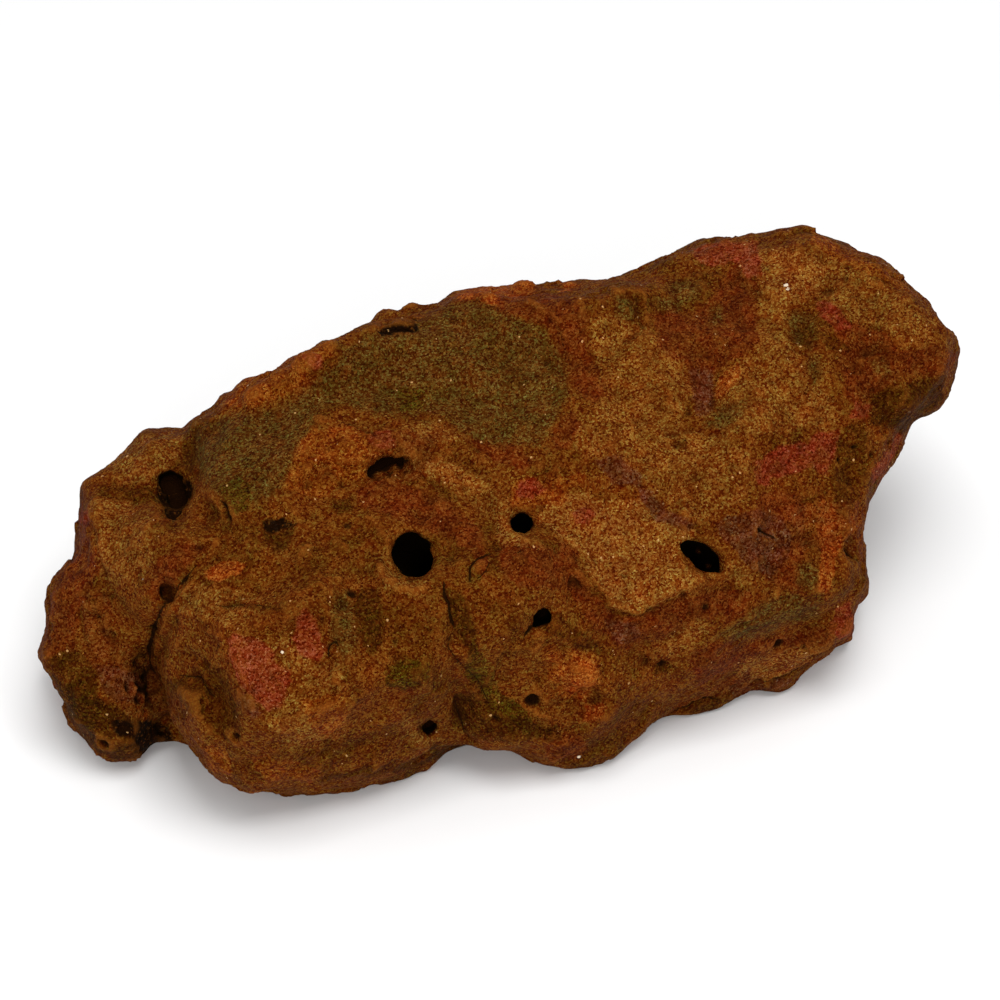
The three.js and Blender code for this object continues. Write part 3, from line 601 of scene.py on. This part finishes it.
# Pits: place, radius and depth in mm. A depth below 0 is a knob.
PITS = [
    ((542, 615), 1.9, 2.2), ((430, 726), 1.9, 2.6), ((533, 700), 2.3, 2.4), ((541, 707), 1.2, 0.9),
    ((171, 484), 3.2, 2.2), ((178, 500), 2.8, 2.2), ((173, 515), 1.9, 1.7), ((226, 515), 1.5, 2.4),
    ((103, 744), 1.8, 2.6),  ((236, 737), 1.3, 1.8),
    ((273, 527), 2.8, 0.8), ((288, 527), 2.8, 0.8), ((278, 540), 3.0, 0.6), ((762, 530), 1.0, 2.0), ((347, 523), 1.6, 1.0), ((357, 527), 1.0, 0.7),
    ((353, 592), 1.7, 1.5), ((663, 665), 1.3, 1.5), ((671, 668), 0.8, 0.9), ((779, 644), 1.9, 2.0),
    ((706, 608), 1.4, 1.3), ((160, 742), 3.0, 3.0), ((126, 731), 2.4, 1.3), ((372, 473), 1.4, 1.8),
    ((384, 467), 1.4, 1.6), ((399, 466), 1.3, 1.6), ((391, 473), 0.9, 1.0), ((410, 329), 1.2, 1.6),
    ((855, 447), 0.9, 1.7), ((840, 460), 0.9, 1.7),
    ((872, 455), 0.9, 1.3), ((889, 445), 1.3, 1.7), ((320, 755), 0.7, 1.0), ((315, 776), 0.9, 0.8),
    ((152, 630), 1.4, 2.0),   ((470, 685), 1.0, 1.0), ((495, 718), 1.0, 1.3), ((460, 478), 1.3, 0.7),
    ((690, 413), 1.2, 0.6), ((676, 445), 1.1, 0.5), ((702, 263), 0.8, 0.8), ((395, 642), 0.7, 1.0),
    ((345, 604), 2.4, 0.8), ((200, 545), 1.4, 0.8), ((128, 688), 1.2, 1.2), ((140, 700), 1.1, 1.1),
    ((118, 668), 1.0, 1.0), ((135, 663), 0.9, 1.0), ((97, 620), 0.9, 0.9), ((92, 600), 0.8, 0.8),
    ((770, 594), 1.1, 0.7), ((735, 470), 2.6, 0.6), ((812, 478), 1.6, 0.5), ((800, 335), 3.0, 0.7),
    ((578, 675), 5.0, -1.1), ((255, 396), 4.0, -1.8), ((304, 362), 4.6, -1.9), ((332, 346), 2.6, -1.3),
    ((385, 316), 4.0, -1.7), ((412, 309), 3.0, -1.7), ((522, 283), 4.2, -1.9), ((472, 296), 3.0, -0.5),
    ((410, 625), 5.0, -0.7), ((480, 567), 2.4, -0.7), ((565, 286), 2.4, -0.6), ((845, 627), 3.6, -0.9),
]
pit_depth = np.zeros(len(points))
lips = np.zeros(len(points))
crack_gap = np.full(len(points), 9.0)
crack_side = np.full(len(points), 9.0)
for path, width, deep in GROOVES:
    gap, side, along, length = path_distance(path)
    ends = smoothstep(0, 0.12 * length, along) * smoothstep(0, 0.12 * length, length - along)
    crack = gap / MM / (0.35 * (deep - 0.9) * (0.3 + 0.7 * ends)) if deep > 1 else 9.0 + gap
    crack_side = np.where(crack < crack_gap, np.clip(crack * side, -9, 9), crack_side)
    crack_gap = np.minimum(crack_gap, crack)
    gap = gap / MM + 0.3 * small + 0.25 * tiny
    cut = deep * (1 - smoothstep(0, width, gap)) * (0.3 + 0.7 * ends)
    if deep > 0:
        pit_depth = np.maximum(pit_depth, 0.6 * cut)
    else:
        lips = np.minimum(lips, cut)
for place, radius, deep in PITS:
    gap = np.linalg.norm(base_points - on_stone(*place), axis=1) / MM
    gap = gap * (1 + 0.25 * small + 0.15 * tiny)
    cut = deep * (1 - smoothstep(0.35 * radius, 1.15 * radius, gap))
    if deep > 0:
        pit_depth = np.maximum(pit_depth, cut)
    else:
        lips = np.minimum(lips, cut)

# White grains: place and radius in mm.
SPECKS = [
    ((786, 286), 0.6), ((788, 290), 0.6), ((909, 413), 0.45), ((579, 758), 0.55), ((206, 426), 0.3),
    ((245, 719), 0.4), ((283, 652), 0.35), ((141, 579), 0.35), ((789, 451), 0.3),
]
speck = np.full(len(points), -2.0)
for place, radius in SPECKS:
    gap = np.linalg.norm(base_points - on_stone(*place), axis=1) / MM
    speck = np.maximum(speck, radius - gap)

# Small pits strewn over the whole stone.
few = smoothstep(0.15, 0.5, field(30 * MM, 32, 2))
strewn = 1 - smoothstep(0.06, 0.2, nearest_cell(7 * MM, 31))
pit_depth = np.maximum(pit_depth, 0.9 * few * strewn)
raised -= (pit_depth + lips) * MM

# Nothing moves where the stone rests, and the whole stays by the solid's box.
rest = smoothstep(0.2 * MM, 2.0 * MM, base_points[:, 2])
bottom_flat = (base_points[:, 2] < 0.4 * MM) & (normals[:, 2] < -0.8)
raised = np.where(bottom_flat, 0, raised) * (0.25 + 0.75 * rest)
points = base_points + normals * raised[:, None]
points[:, 2] = np.maximum(points[:, 2], 0)
low = np.array(cad_box[0])
high = np.array(cad_box[1])
points = np.clip(points, low - 0.01 * (high - low) * [1, 1, 0], high + 0.01 * (high - low))
write_points(mesh, points)
final_normals = read_normals(mesh)

# How hollow or proud each place is, for painted shade in the hollows and wear on the edges.
hollow = ((averaged(points, 5) - points) * final_normals).sum(1) / MM
hollow = np.clip(averaged(hollow, 1) * (0.3 + 0.7 * seen), -1, 1)
broad = np.clip(((averaged(points, 45) - points) * final_normals).sum(1) / MM / 2.5, -1, 1)

# How closed in each place is, for painted shade: the share of directions that meet the stone again close by.
CLOSE = 26 * MM
directions = []
for n in range(26):
    z = 1 - (n + 0.5) / 26
    turn = n * 2.39996
    flat = math.sqrt(1 - z * z)
    directions.append((math.cos(turn) * flat, math.sin(turn) * flat, z))
closed = np.zeros(len(points))
cavities = BVHTree.FromObject(stone, bpy.context.evaluated_depsgraph_get())
for n in range(len(points)):
    normal = Vector(final_normals[n])
    start = Vector(points[n]) + normal * 0.3 * MM
    if cavities.ray_cast(start, normal, CLOSE)[0] is None:
        continue
    turned = normal.to_track_quat("Z", "Y")
    blocked = sum(
        cavities.ray_cast(start, turned @ Vector(way), CLOSE)[0] is not None for way in directions
    )
    closed[n] = blocked / len(directions)
closed = averaged(closed, 1)


def store(name, values):
    layer = mesh.attributes.new(name, "FLOAT", "POINT")
    layer.data.foreach_set("value", values.astype(np.float32))


for name, values in inside.items():
    store(name, values)
store("hollow", hollow)
store("broad", broad)
store("pit", np.clip(pit_depth / 2, 0, 1))
store("closed", closed)
store("speck", speck)
store("crack_side", crack_side)
store("crack_gap", crack_gap)

mesh.polygons.foreach_set("use_smooth", np.ones(len(mesh.polygons), dtype=bool))
mesh.materials.clear()

# The stone's material.


def colour(r, g, b):
    """A colour written as it looks on a screen, 0 to 255, as the shader wants it."""

    def linear(c):
        c /= 255
        return c / 12.92 if c <= 0.04045 else ((c + 0.055) / 1.055) ** 2.4

    return (linear(r), linear(g), linear(b), 1.0)


material = bpy.data.materials.new("sandstone")
material.use_nodes = True
nodes = material.node_tree.nodes
links = material.node_tree.links
shader = nodes["Principled BSDF"]
coordinates = nodes.new("ShaderNodeTexCoord").outputs["Object"]


def math_node(operation, a, b=None, c=None):
    node = nodes.new("ShaderNodeMath")
    node.operation = operation
    for socket, value in zip(node.inputs, (a, b, c)):
        if value is None:
            continue
        if isinstance(value, (int, float)):
            socket.default_value = value
        else:
            links.new(value, socket)
    return node.outputs[0]


def noise_node(scale, detail=4, rough=0.55, distortion=0.0):
    node = nodes.new("ShaderNodeTexNoise")
    node.inputs["Scale"].default_value = scale
    node.inputs["Detail"].default_value = detail
    node.inputs["Roughness"].default_value = rough
    node.inputs["Distortion"].default_value = distortion
    links.new(coordinates, node.inputs["Vector"])
    return node.outputs["Fac"]


def cells_node(scale):
    node = nodes.new("ShaderNodeTexVoronoi")
    node.inputs["Scale"].default_value = scale
    links.new(coordinates, node.inputs["Vector"])
    return node


def ramp(value, low, high):
    node = nodes.new("ShaderNodeMapRange")
    node.interpolation_type = "SMOOTHSTEP"
    node.inputs["From Min"].default_value = low
    node.inputs["From Max"].default_value = high
    links.new(value, node.inputs["Value"])
    return node.outputs["Result"]


def attribute(name):
    node = nodes.new("ShaderNodeAttribute")
    node.attribute_name = name
    return node.outputs["Fac"]


def mix(factor, a, b, blend="MIX"):
    node = nodes.new("ShaderNodeMix")
    node.data_type = "RGBA"
    node.blend_type = blend
    for socket, value in ((node.inputs[0], factor), (node.inputs[6], a), (node.inputs[7], b)):
        if isinstance(value, (int, float, tuple)):
            socket.default_value = value
        else:
            links.new(value, socket)
    return node.outputs[2]


ragged = noise_node(520, 4, 0.65)
blotch = noise_node(150, 4, 0.6)
edge_wander = math_node(
    "ADD",
    math_node("MULTIPLY", math_node("SUBTRACT", ragged, 0.5), 2.2),
    math_node("MULTIPLY", math_node("SUBTRACT", blotch, 0.5), 3.2),
)
patchy = math_node("MULTIPLY_ADD", ramp(noise_node(330, 4, 0.6), 0.36, 0.6), 0.25, 0.75)


def region(name, low, high, strength):
    """1 inside the named patches and 0 outside, with a ragged edge, thinner in places."""
    distance = math_node("ADD", attribute(name), edge_wander)
    thin = math_node("MULTIPLY", patchy, strength)
    return math_node("MULTIPLY", ramp(distance, low, high), thin)


BASE = colour(85, 40, 6)
BASE_WARM = colour(93, 45, 7)
BASE_DULL = colour(70, 33, 3)
# Each kind of patch: its two tones, how soft its edge is in mm, and how fully it covers.
PALETTE = {
    "ochre": (colour(113, 64, 18), colour(90, 47, 10), 0.8, 0.95),
    "sand": (colour(123, 71, 22), colour(105, 56, 16), 0.5, 0.95),
    "orange": (colour(120, 57, 12), colour(94, 40, 4), 0.5, 0.9),
    "ember": (colour(133, 59, 14), colour(112, 48, 10), 0.5, 0.9),
    "rust": (colour(91, 34, 6), colour(69, 22, 3), 0.7, 0.95),
    "purple": (colour(84, 38, 20), colour(66, 29, 11), 0.5, 0.95),
    "olive": (colour(78, 48, 13), colour(62, 38, 7), 1.3, 1.0),
    "green": (colour(60, 38, 2), colour(44, 28, 1), 0.5, 0.9),
    "umber": (colour(64, 28, 1), colour(49, 21, 1), 0.5, 0.85),
    "dark": (colour(52, 23, 1), colour(37, 14, 0), 0.9, 0.9),
    "red": (colour(110, 33, 16), colour(84, 24, 8), 0.5, 0.9),
    "pink": (colour(117, 44, 22), colour(101, 35, 13), 0.5, 0.95),
    "crumble": (colour(99, 42, 13), colour(71, 27, 5), 0.5, 0.45),
    "shadow": (colour(16, 4, 2), colour(7, 1, 1), 0.5, 1.3),
}

tone = mix(ramp(noise_node(90, 4, 0.6), 0.38, 0.62), BASE, BASE_WARM)
tone = mix(ramp(noise_node(60, 3, 0.55), 0.45, 0.68), tone, BASE_DULL)
drift = ramp(noise_node(190, 5, 0.7, 0.4), 0.4, 0.6)
for name, (light_tone, dull_tone, soft, strength) in PALETTE.items():
    tone = mix(region(name, -soft, soft, strength), tone, mix(drift, light_tone, dull_tone))

# Blotches of a few millimetres, lighter and darker.
mottle = noise_node(300, 4, 0.7)
tone = mix(math_node("MULTIPLY", ramp(mottle, 0.52, 0.68), 0.26), tone, colour(117, 64, 16))
tone = mix(math_node("MULTIPLY", ramp(mottle, 0.47, 0.33), 0.32), tone, colour(54, 18, 3))

# Sand grains: each its own lightness.
grains = cells_node(2300)
grain_value = nodes.new("ShaderNodeSeparateColor")
links.new(grains.outputs["Color"], grain_value.inputs[0])
fine = noise_node(3600, 2, 0.6)
speckle = math_node("MULTIPLY_ADD", grain_value.outputs[0], 1.15, 0.36)
speckle = math_node("MULTIPLY", speckle, math_node("MULTIPLY_ADD", fine, 1.8, 0.15))
hue = math_node("MULTIPLY_ADD", grain_value.outputs[1], 0.1, 0.95)
hue = math_node("MULTIPLY_ADD", math_node("SUBTRACT", noise_node(800, 3, 0.7), 0.5), 0.4, hue)
hue = math_node("MULTIPLY_ADD", math_node("SUBTRACT", noise_node(240, 3, 0.6), 0.5), 1.0, hue)
shade = nodes.new("ShaderNodeCombineColor")
links.new(speckle, shade.inputs[0])
golden = math_node("MULTIPLY", math_node("POWER", speckle, 2.3), 0.9)
pale = math_node("MULTIPLY", math_node("POWER", speckle, 3.5), 0.76)
links.new(math_node("MULTIPLY", golden, hue), shade.inputs[1])
links.new(math_node("MULTIPLY", pale, hue), shade.inputs[2])
tone = mix(1.0, tone, shade.outputs[0], "MULTIPLY")
pale_grain = math_node("GREATER_THAN", grain_value.outputs[1], 0.93)
tone = mix(math_node("MULTIPLY", pale_grain, 0.16), tone, colour(162, 96, 34))

# Painted shade in the hollows, paler worn edges.
hollow_value = attribute("hollow")
broad_value = attribute("broad")
# Painted shade in broad hollows.
tone = mix(math_node("MULTIPLY", ramp(broad_value, 0.1, 0.9), 0.45), tone, colour(45, 19, 2))
# Painted shade in small hollows.
tone = mix(math_node("MULTIPLY", ramp(hollow_value, 0.04, 0.5), 0.65), tone, colour(35, 11, 2))
tone = mix(math_node("MULTIPLY", ramp(hollow_value, -0.04, -0.4), 0.38), tone, colour(136, 76, 22))
# Painted shade: a dark hairline along each groove deeper than 1 mm.
crack_wander = math_node("MULTIPLY", math_node("SUBTRACT", noise_node(900, 3, 0.7), 0.5), 2.0)
crack = math_node("ADD", math_node("ABSOLUTE", attribute("crack_side")), crack_wander)
crack = math_node("MULTIPLY", ramp(crack, 1.3, 0.7), ramp(attribute("crack_gap"), 5.0, 3.0))
tone = mix(math_node("MULTIPLY", crack, 0.85), tone, colour(24, 8, 3))
# Painted shade in pits and deep grooves, darker where deeper.
tone = mix(math_node("MULTIPLY", ramp(attribute("pit"), 0.2, 0.75), 0.88), tone, colour(18, 5, 2))

# Painted glints: a few grains paler in colour, and glossier.
bright = math_node("GREATER_THAN", grain_value.outputs[2], 0.9993)
tone = mix(math_node("MULTIPLY", bright, 0.5), tone, colour(226, 176, 112))
# White grains.
white = math_node("ADD", attribute("speck"), math_node("MULTIPLY", math_node("SUBTRACT", ragged, 0.5), 1.6))
tone = mix(ramp(white, -0.05, 0.1), tone, colour(214, 196, 170))
# Painted shade: near black where the stone closes in around a place.
tone = mix(ramp(attribute("closed"), 0.5, 0.8), tone, colour(3, 1, 1))
links.new(tone, shader.inputs["Base Color"])

links.new(math_node("MULTIPLY_ADD", bright, -0.5, 0.9), shader.inputs["Roughness"])
shader.inputs["Specular IOR Level"].default_value = 0.08
shader.inputs["Specular Tint"].default_value = (1.0, 0.6, 0.12, 1.0)

# Fine relief in mm: domed grains, grit and small lumps.
relief = math_node("MULTIPLY", grains.outputs["Distance"], -0.22)
relief = math_node("MULTIPLY_ADD", noise_node(1100, 3, 0.65), 0.5, relief)
relief = math_node("MULTIPLY_ADD", noise_node(330, 4, 0.62), 0.8, relief)
relief = math_node("MULTIPLY_ADD", crack, -0.5, relief)
bump = nodes.new("ShaderNodeBump")
bump.inputs["Strength"].default_value = 1.0
bump.inputs["Distance"].default_value = MM
links.new(relief, bump.inputs["Height"])
links.new(bump.outputs["Normal"], shader.inputs["Normal"])

mesh.materials.append(material)
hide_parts("rock")
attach(stone, "root")

# Floor, light and camera.

FLOOR_SIZE = 6.0
floor_mesh = bpy.data.meshes.new("floor")
half = FLOOR_SIZE / 2
floor_mesh.from_pydata(
    [(-half, -half, 0), (half, -half, 0), (half, half, 0), (-half, half, 0)], [], [(0, 1, 2, 3)]
)
floor = bpy.data.objects.new("floor", floor_mesh)
bpy.context.scene.collection.objects.link(floor)
floor_material = bpy.data.materials.new("floor_paint")
floor_material.use_nodes = True
floor_shader = floor_material.node_tree.nodes["Principled BSDF"]
floor_shader.inputs["Base Color"].default_value = (0.86, 0.86, 0.86, 1)
floor_shader.inputs["Roughness"].default_value = 0.9
floor_mesh.materials.append(floor_material)

world = bpy.data.worlds.new("studio")
world.use_nodes = True
world.node_tree.nodes["Background"].inputs["Color"].default_value = (1, 1, 1, 1)
world.node_tree.nodes["Background"].inputs["Strength"].default_value = 0.7
bpy.context.scene.world = world


def softbox(name, place, aim, size, power):
    data = bpy.data.lights.new(name, "AREA")
    data.size = size
    data.energy = power
    light = bpy.data.objects.new(name, data)
    light.location = place
    light.rotation_mode = "QUATERNION"
    light.rotation_quaternion = (Vector(aim) - Vector(place)).to_track_quat("-Z", "Y")
    bpy.context.scene.collection.objects.link(light)


softbox("top_light", (0.0, -0.3, 1.1), (0, 0, 0.04), 0.6, 8)
softbox("front_light", (-0.5, -1.1, 0.6), (0, 0, 0.04), 0.6, 5)

camera_data = bpy.data.cameras.new("camera")
camera_data.sensor_width = 36
camera_data.lens = 36 * DISTANCE / VIEW_WIDTH
camera_data.clip_start = 0.05
camera_data.clip_end = 20
camera = bpy.data.objects.new("camera", camera_data)
camera.location = eye
camera.rotation_mode = "QUATERNION"
camera.rotation_quaternion = (-back).to_track_quat("-Z", "Y")
bpy.context.scene.collection.objects.link(camera)
bpy.context.scene.camera = camera

bpy.context.scene.view_settings.view_transform = "Standard"
bpy.context.scene.view_settings.look = "None"

print("triangles", sum(len(p.vertices) - 2 for p in mesh.polygons))
